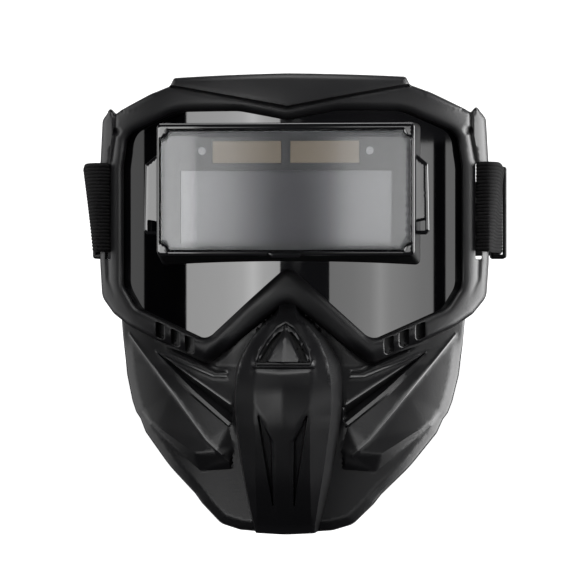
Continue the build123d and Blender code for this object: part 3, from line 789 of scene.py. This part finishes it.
def jaw_front(ax, z, relief):
    hd = hood(ax, z)
    # crease down the middle of the upper panel, and the bar below it
    hd = hd - 1.1 * np.clip(1 - ax / PANEL, 0, 1) * smooth((-76.2 - z) / 1.5) * (1 - smooth((-82 - z) / 24))
    bar = np.interp(z, [-136, -106.6, -95.0, -91], [3.7, 4.15, 10.2, 11.6])
    hd = hd - 0.8 * smooth((bar - ax) / 0.9 + 0.5) * smooth((-88 - z) / 14) * (1 - smooth((-136 - z) / 8))
    ck = cheek(ax, z) - relief
    y = np.minimum(ck, hd)
    return y, hd < ck


def build_jaw():
    outer = rounded(JAW, step=1.0)
    arch = ccw(dense(full(ARCH), 0.7))
    facets = Facets(RELIEF_PTS, RELIEF_EDGES)
    lines = []
    for sx in (-1, 1):
        for i, j in RELIEF_EDGES:
            p, q = RELIEF_PTS[i], RELIEF_PTS[j]
            lines.append([(sx * p[0], p[1]), (sx * q[0], q[1])])
        for fl in FLOW + [RIDGE, LOUVRE_TOP]:
            for d in (-0.85, 0, 0.85):
                lines.append([(sx * x, z + d) for x, z in fl])
        g = mirrored(sx, GROOVE)
        lines.append(g + g[:1])
        gi = shift(ccw(g), -0.7)
        lines.append(gi + gi[:1])
        zs = np.arange(-58.0, -149.0, -1.2)
        lines.append(list(zip(sx * along(CREST, zs), zs)))
        lines.append(hood_foot(sx))
        lines.append([(sx * 5.6, -57.0), (sx * 10.4, -66.0), (sx * PANEL, -76.0), (sx * PANEL, -140.0)])
    for z in (-74.6, -75.1, -75.5, -76.0):
        lines.append([(-13.5, z), (13.5, z)])
    v2, tri = region(outer, [arch], [(outer, [0.3, 0.7, 1.2, 2.0, 4.2]), (arch, [0.3, 0.7])], lines, 1.15)
    x, z = v2[:, 0], v2[:, 1]
    ax = np.abs(x)
    rel = facets.at(ax, z)
    for fl in FLOW:
        d = np.minimum(dist(v2, fl, False), dist(v2 * np.array([-1, 1]), fl, False))
        rel = rel + 0.38 * np.clip(1 - d / 0.8, 0, 1)
    # fine beads along the ridge of the blade and the upper edge of the louvre
    for bead, high in ((RIDGE, 0.40), (LOUVRE_TOP, 0.3)):
        d = dist(np.column_stack([ax, z]), bead, False)
        rel = rel + high * np.clip(1 - d / 0.7, 0, 1)
    # the area above the flow lines steps back towards the frame
    up = np.interp(ax, [24, 31.8, 34.6, 52.5], [-78.7, -78.9, -77.8, -70.0])
    rel = rel - 0.9 * smooth((z - up - 0.4) / 0.8) * smooth((ax - 24) / 8) * smooth((56 - ax) / 6)
    foot = hood_foot(1)
    fx = np.interp(z, [p[1] for p in reversed(foot)], [p[0] for p in reversed(foot)])
    rel = rel * np.where(z < -62, smooth((ax - fx) / 1.6), 1.0)
    y, on_hood = jaw_front(ax, z, rel)
    d_out = dist(v2, outer)
    low = (z < -60)
    y = y + np.where(low, 0.42 * np.clip(4.2 - d_out, 0, 4.2) * smooth((-62 - z) / 10), 0)
    y = y + lip(d_out, 1.0, 0.9)
    # fine bead along the top of the crest
    zs = np.arange(-57.0, -84.0, -1.5)
    crest = list(zip(along(CREST, zs), zs))
    d = dist(np.column_stack([ax, z]), crest, False)
    y = y - 0.3 * np.clip(1 - d / 0.75, 0, 1) * smooth((z + 86) / 8)
    # grooves either side of the bar
    g = np.zeros(len(v2), bool)
    for sx in (-1, 1):
        g |= inside(v2, shift(ccw(mirrored(sx, GROOVE)), -0.35))
    y = y + np.where(g, 3.2, 0)
    # double line under the vent cover
    for zc in (-74.9, -75.9):
        y = y + 0.9 * np.clip(1 - np.abs(z - zc) / 0.45, 0, 1) * (ax < 13.0) * on_hood
    # raised rim round the vent cover
    da = dist(v2, arch)
    y = y - 0.5 * np.clip(1 - np.abs(da - 0.9) / 0.8, 0, 1) * smooth((z + 74.3) / 2.5)
    back = np.minimum(cheek(ax, z, 2.2), hood(ax, z, 2.2))
    back = np.maximum(back, y + 1.0)
    shell = plate(v2, tri, y, back)
    # side walls back to the rear trim
    n = len(outer)
    inner = shift(outer, -2.2)
    verts, faces = [], []
    keep = []
    for i in range(n):
        px, pz = outer[i]
        qx, qz = inner[i]
        yf = float(cheek(np.array([abs(px)]), np.array([pz]))[0]) + 1.6
        if abs(px) < 22 and pz > -140:
            yf = max(yf, float(hood(np.array([abs(px)]), np.array([pz]))[0]) + 1.2)
        yr = max(18.0 - 40.0 * (-60.0 - pz) / 92.0, yf + 0.5)
        verts += [(px, yf, pz), (px, yr, pz), (qx, yr, qz), (qx, yf + 0.8, qz)]
        # no wall along the top, which lies behind the frame
        top = np.interp(abs(px), [0, 20, 36, 73.5], [-50, -66, -78, -60])
        keep.append(pz < -55.0 and not (abs(px) < 73.5 and pz > -76.5 and pz > top))
    for i in range(n):
        j = (i + 1) % n
        if keep[i] and keep[j]:
            for a, b in ((0, 1), (1, 2), (2, 3), (3, 0)):
                faces.append((4 * i + a, 4 * i + b, 4 * j + b, 4 * j + a))
    v, f = merge(shell, (verts, faces))
    ob = make("jaw_mask_shell", v, f, M_MASK, 32, "jaw", "jaw_mask")
    # painted highlight: the proud edges get a lighter, glossier copy of the mask material
    at = centres(ob)
    at[:, 0] = np.abs(at[:, 0])
    highlit = inside(at, LOUVRE_LIP)
    for bead in FLOW + [RIDGE, LOUVRE_TOP, crest]:
        highlit |= dist(at, bead, False) < HIGHLIGHT_STRIP
    second_material(ob, M_MASK_HIGHLIGHT, highlit)

    # vent cover: a pointed arch with a raised, creased middle facet and two slots, their floors a dark matte
    # sheet painted as shade
    cover = shift(arch, 0.9)
    mid = [(0, -59.5), (7.2, -73.3), (-7.2, -73.3)]
    slots = []
    for sx in (-1, 1):
        slot = [(1.3, -60.4), (3.0, -60.8), (6.3, -64.6), (8.9, -69.0), (10.6, -73.2), (7.5, -73.2)]
        slots.append(rounded(mirrored(sx, slot), 0.2, 0.5))
    lines = [[(0, -58.2), (0, -73.4)], [mid[0], mid[1]], [mid[0], mid[2]]]
    lines += [sl + sl[:1] for sl in slots]
    cv, ct = region(cover, [], [(cover, [0.3, 0.7])], lines, 0.8)
    cx, cz = np.abs(cv[:, 0]), cv[:, 1]
    cy = hood_nose(cz) + 0.4
    wid = np.maximum((-58.5 - cz) * 7.4 / 14.9, 0.3)
    cy = cy - 1.1 * np.clip(1 - cx / wid, 0, 1) * (cx < wid) - 0.5 * (cx < wid)
    for sl in slots:
        cy = cy + np.where(inside(cv, shift(sl, -0.1)), 3.0, 0)
    cy = np.maximum(cy, hood_nose(cz) + np.where(dist(cv, cover) < 0.95, 1.6, -9))
    v, f = plate(cv, ct, cy, np.maximum(hood_nose(cz) + 3.4, cy + 0.4))
    # the whole cover takes the painted highlight material
    ob = make("nose_vent_cover_arch", v, f, M_COVER_HIGHLIGHT, 32, "jaw", "nose_vent_cover")
    at = centres(ob)
    # painted shade: the slot floors take the dark matte foam material where the open slots would be in shade
    second_material(ob, M_FOAM_AND_SLOT_SHADE, inside(at, slots[0]) | inside(at, slots[1]))


build_jaw()


# ------------------------------------------------------------------ strap
def run_of_strap():
    """Plan view of the strap from the end of one tail to the end of the other:
    an ellipse round the head, and at each end a smooth curve round the bar."""
    bend = [(95, 16), (95, 2), (92.6, -12.5), (87.6, -17.8), (83.8, -14.8), (83.5, -8.5), (86.6, 6),
            (92.6, 28), (92.6, 50)]
    out = []
    for k in range(1, len(bend) - 2):
        p0, p1, p2, p3 = (np.array(bend[k + o], float) for o in (-1, 0, 1, 2))
        for j in range(12):
            t = j / 12
            out.append(tuple(0.5 * (2 * p1 + (p2 - p0) * t + (2 * p0 - 5 * p1 + 4 * p2 - p3) * t * t +
                                    (3 * p1 - p0 - 3 * p2 + p3) * t ** 3)))
    one = [(95.0, 95.0)] + out + [(92.6, 28.0), (92.6, 90.0)]
    ell = [(95.0 * x, 95.0 + 77.0 * y) for x, y in arc(0, 0, 1, 0, math.pi, 120)]
    path = one[::-1] + ell[1:-1] + mirrored(-1, one)
    return dense(path, 2.0, False)


def build_strap():
    path = run_of_strap()
    n = len(path)
    half_w, t, mid_z = 19.0, 0.8, -6.6
    ribs = 25
    rows = []
    for k in range(ribs * 6 + 1):
        u = k / (ribs * 6)
        w = -half_w + 0.5 + (2 * half_w - 1.0) * u
        h = t - 0.34 + 0.34 * abs(math.sin(math.pi * ribs * u)) ** 0.7
        rows.append((w, h))
    profile = rows + [(half_w, 0.35), (half_w, -0.35)] + [(w, -h) for w, h in reversed(rows)]
    profile += [(-half_w, -0.35), (-half_w, 0.35)]
    m = len(profile)
    verts, faces = [], []
    for i, (px, py) in enumerate(path):
        a = path[max(0, i - 1)]
        b = path[min(n - 1, i + 1)]
        dx, dy = b[0] - a[0], b[1] - a[1]
        ln = math.hypot(dx, dy)
        nx, ny = dy / ln, -dx / ln
        outer_run = max(0.0, min(1.0, (abs(px) - 88.0) / 6.5))
        f = float(smooth(np.array((40.0 - py) / 40.0))) * outer_run
        g = float(smooth(np.array((4.0 - py) / 20.0)))
        for w, h in profile:
            tz = (w + half_w) / (2 * half_w)
            sx = math.copysign(1.0, px)
            x = px + nx * h - sx * 5.0 * (1 - tz) * f + (-1.6 * f if sx < 0 else 0.0)
            verts.append((x, py + ny * h, mid_z + w + 2.2 * tz * g))
    for i in range(n - 1):
        for k in range(m):
            k2 = (k + 1) % m
            faces.append((i * m + k, (i + 1) * m + k, (i + 1) * m + k2, i * m + k2))
    faces.append(tuple(range(m))[::-1])
    faces.append(tuple((n - 1) * m + k for k in range(m)))
    ob = make("strap_webbing", verts, faces, M_WEB, 60, "goggle", "strap")


build_strap()


# ------------------------------------------------------------------ foams
def soften(node, name, mat, voxel, body, rough=0.12, rounds=3):
    """Foam or felt piece on a CAD node's space: remeshed fine, its edges
    worn round, its skin uneven."""
    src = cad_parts[node]
    me = src.data.copy()
    ob = link(name, me)
    mod = ob.modifiers.new("grain", 'REMESH')
    mod.mode = 'VOXEL'
    mod.voxel_size = voxel * MM
    dg = bpy.context.evaluated_depsgraph_get()
    me2 = bpy.data.meshes.new_from_object(ob.evaluated_get(dg))
    ob.modifiers.clear()
    ob.data = me2
    bm = bmesh.new()
    bm.from_mesh(me2)
    for _ in range(rounds):
        bmesh.ops.smooth_vert(bm, verts=bm.verts, factor=0.5,
                              use_axis_x=True, use_axis_y=True, use_axis_z=True)
    bm.normal_update()
    for v in bm.verts:
        k = noise.noise(v.co * 420.0) + 0.6 * noise.noise(v.co * 1100.0)
        v.co -= v.normal * (0.5 + 0.5 * k) * rough * MM
    bm.to_mesh(me2)
    bm.free()
    me2.polygons.foreach_set("use_smooth", [True] * len(me2.polygons))
    me2.materials.clear()
    me2.materials.append(mat)
    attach(ob, body)
    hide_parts(node)


soften("face_foam", "face_foam_pad", M_FOAM_AND_SLOT_SHADE, 1.1, "goggle", 0.35, 6)
soften("face_fleece", "face_fleece_pad", M_FLEECE, 0.55, "goggle", 0.15, 2)
soften("brow_vent_foam", "brow_vent_foam_pad", M_FOAM_AND_SLOT_SHADE, 0.6, "goggle")
soften("lower_vent_foam_left", "lower_vent_foam_left_pad", M_FOAM_AND_SLOT_SHADE, 0.6, "goggle")
soften("lower_vent_foam_right", "lower_vent_foam_right_pad", M_FOAM_AND_SLOT_SHADE, 0.6, "goggle")
soften("breathing_filter", "breathing_filter_pad", M_PAD, 0.8, "jaw")


# ------------------------------------------------------------------ CAD nodes kept
def dress(node, mat):
    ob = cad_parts[node]
    ob.data.materials.clear()
    ob.data.materials.append(mat)


for mat, nodes in (
        (M_RUBBER, ("lens_gasket",)),
        (M_SILICONE, ("strap_grip_bead_upper", "strap_grip_bead_middle", "strap_grip_bead_lower")),
        (M_STEEL, ("mask_clip_left", "mask_clip_right", "button_cell_left", "button_cell_right")),
        (M_SLIDER, ("strap_slider_left", "strap_slider_right")),
        (M_CASE, ("filter_case_front", "filter_case_rear")),
        (M_LCD, ("uv_ir_filter", "lcd_panel")),
        (M_BOARD, ("filter_circuit_board",)),
        (M_SOLAR, ("solar_cell_left", "solar_cell_right")),
        (M_SENSOR, ("arc_sensor_left", "arc_sensor_right")),
        (M_CLEAR, ("inner_cover_plate",)),
        (M_MASK, ("filter_retainer",))):
    for node in nodes:
        dress(node, mat)


# ------------------------------------------------------------------ stage
def emission(name, build):
    m = bpy.data.materials.new(name)
    m.use_nodes = True
    nt = m.node_tree
    nt.nodes.clear()
    out = add(nt, "OutputMaterial")
    em = add(nt, "Emission")
    nt.links.new(em.outputs["Emission"], out.inputs["Surface"])
    build(nt, em)
    return m


def light_wall(name, lo, hi, z0, z1, stops, power):
    """Curved card of soft light in front of the object; stops are
    (azimuth in degrees, level)."""
    r, c = 1.45, Vector((0, -0.04, 0))
    K = 90
    verts, faces = [], []
    for k in range(K + 1):
        a = math.radians(lo + (hi - lo) * k / K)
        for z in (z0, z1):
            verts.append((c.x + r * math.sin(a), c.y - r * math.cos(a), z))
    for k in range(K):
        i = 2 * k
        faces.append((i, i + 1, i + 3, i + 2))
    me = bpy.data.meshes.new(name)
    me.from_pydata(verts, [], faces)
    uv = me.uv_layers.new(name="az")
    for poly in me.polygons:
        for li in poly.loop_indices:
            v = me.vertices[me.loops[li].vertex_index].co
            a = math.degrees(math.atan2(v.x - c.x, -(v.y - c.y)))
            uv.data[li].uv = ((a - lo) / (hi - lo), (v.z - z0) / (z1 - z0))
    ob = link(name, me)

    def build(nt, em):
        u = add(nt, "UVMap")
        u.uv_map = "az"
        sep = add(nt, "SeparateXYZ")
        nt.links.new(u.outputs["UV"], sep.inputs[0])
        cr = add(nt, "ValToRGB")
        el = cr.color_ramp.elements
        while len(el) > 1:
            el.remove(el[0])
        el[0].position = 0
        el[0].color = (stops[0][1],) * 3 + (1,)
        for a, v in stops[1:]:
            e = el.new((a - lo) / (hi - lo))
            e.color = (v, v, v, 1)
        nt.links.new(sep.outputs["X"], cr.inputs["Fac"])
        mul = add(nt, "Math")
        mul.operation = 'MULTIPLY'
        mul.inputs[1].default_value = power
        nt.links.new(cr.outputs["Color"], mul.inputs[0])
        nt.links.new(mul.outputs[0], em.inputs["Strength"])

    me.materials.append(emission(name + "_glow", build))
    ob.visible_camera = False
    ob.visible_shadow = False


def stage():
    # floor, well below the object, which a head holds up
    me = bpy.data.meshes.new("floor")
    n = 96
    verts = [(0, 0, FLOOR_Z)] + [(x, y, FLOOR_Z) for x, y in arc(0, 0, 8.0, 0, 2 * math.pi, n)[:n]]
    me.from_pydata(verts, [], [(0, 1 + k, 1 + (k + 1) % n) for k in range(n)])
    ob = link("floor", me)
    m, _, _ = principled("pale_floor", (0.8, 0.8, 0.8), Roughness=0.9, Specular_IOR_Level=0.1,
                         Emission_Color=(1, 1, 1, 1), Emission_Strength=1.02)
    me.materials.append(m)
    ob.visible_glossy = False
    ob.visible_diffuse = False
    glow = 4.4
    light_wall("card_left", -85, -7.4, -0.115, 0.22,
               [(-85, 0.16), (-75.6, 0.16), (-75, 0), (-52.6, 0), (-52, 0.80), (-34, 0.88), (-25, 1.0),
                (-20, 1.25), (-15, 0.98), (-7.4, 0.84)], glow)
    light_wall("card_right", 15.2, 80, -0.115, 0.11,
               [(15.2, 0.40), (26, 0.44), (34, 0.52), (39, 0.70), (44, 0.56), (58, 0.42), (65, 0.38),
                (65.6, 0), (71.5, 0), (72, 0.30), (80, 0.30)], glow)
    light_wall("card_plate", -7.3, 2.2, -0.006, 0.128,
               [(-7.3, 0.50), (-6.2, 0.44), (-5.0, 0.18), (-4.0, 0.03), (-2.8, 0.03), (-1.9, 0.14),
                (-1.0, 0.54), (2.2, 0.66)], glow)
    w = bpy.data.worlds.new("studio")
    bpy.context.scene.world = w
    w.use_nodes = True
    nt = w.node_tree
    bg = setup(nt.nodes["Background"], Color=(0.05, 0.05, 0.055, 1), Strength=1.0)
    white = add(nt, "Background", Color=(1, 1, 1, 1), Strength=1.35)
    lp = add(nt, "LightPath")
    mix = add(nt, "MixShader")
    out = nt.nodes["World Output"]
    nt.links.new(lp.outputs["Is Camera Ray"], mix.inputs["Fac"])
    nt.links.new(bg.outputs[0], mix.inputs[1])
    nt.links.new(white.outputs[0], mix.inputs[2])
    nt.links.new(mix.outputs[0], out.inputs["Surface"])

    def area(name, loc, target, size, power, size_y):
        li = bpy.data.lights.new(name, 'AREA')
        li.shape = 'RECTANGLE'
        li.size = size
        li.size_y = size_y
        li.energy = power
        o = link(name, li)
        o.location = loc
        o.rotation_euler = (Vector(target) - Vector(loc)).to_track_quat('-Z', 'Y').to_euler()

    area("top_soft", (0.0, -0.9, 1.3), (0, -0.04, 0), 1.6, 14, 0.6)
    area("crown_soft", (0.0, -0.25, 1.3), (0, -0.06, -0.06), 0.8, 3, 0.5)
    area("back_fill", (0, 1.4, 0.7), (0, 0.05, 0), 1.4, 9, 1.0)
    area("right_soft", (1.3, 0.32, 0.0), (0, -0.02, -0.06), 1.0, 40, 1.3)
    area("left_soft", (-1.3, 0.40, 0.05), (0, -0.02, -0.05), 1.0, 6.5, 1.3)


stage()

# ------------------------------------------------------------------ camera
cam = bpy.data.cameras.new("camera")
cam.sensor_width = 36.0
cam.lens = 145.35
cam.clip_start = 0.05
cam_ob = link("camera", cam)
aim = Vector((0, -0.0453, -0.0419))
azimuth, distance = math.radians(3.7), 1.0167
cam_ob.location = aim + Vector((math.sin(azimuth), -math.cos(azimuth), 0)) * distance
cam_ob.rotation_euler = (aim - cam_ob.location).to_track_quat('-Z', 'Y').to_euler()
bpy.context.scene.camera = cam_ob
bpy.context.scene.view_settings.view_transform = 'Standard'
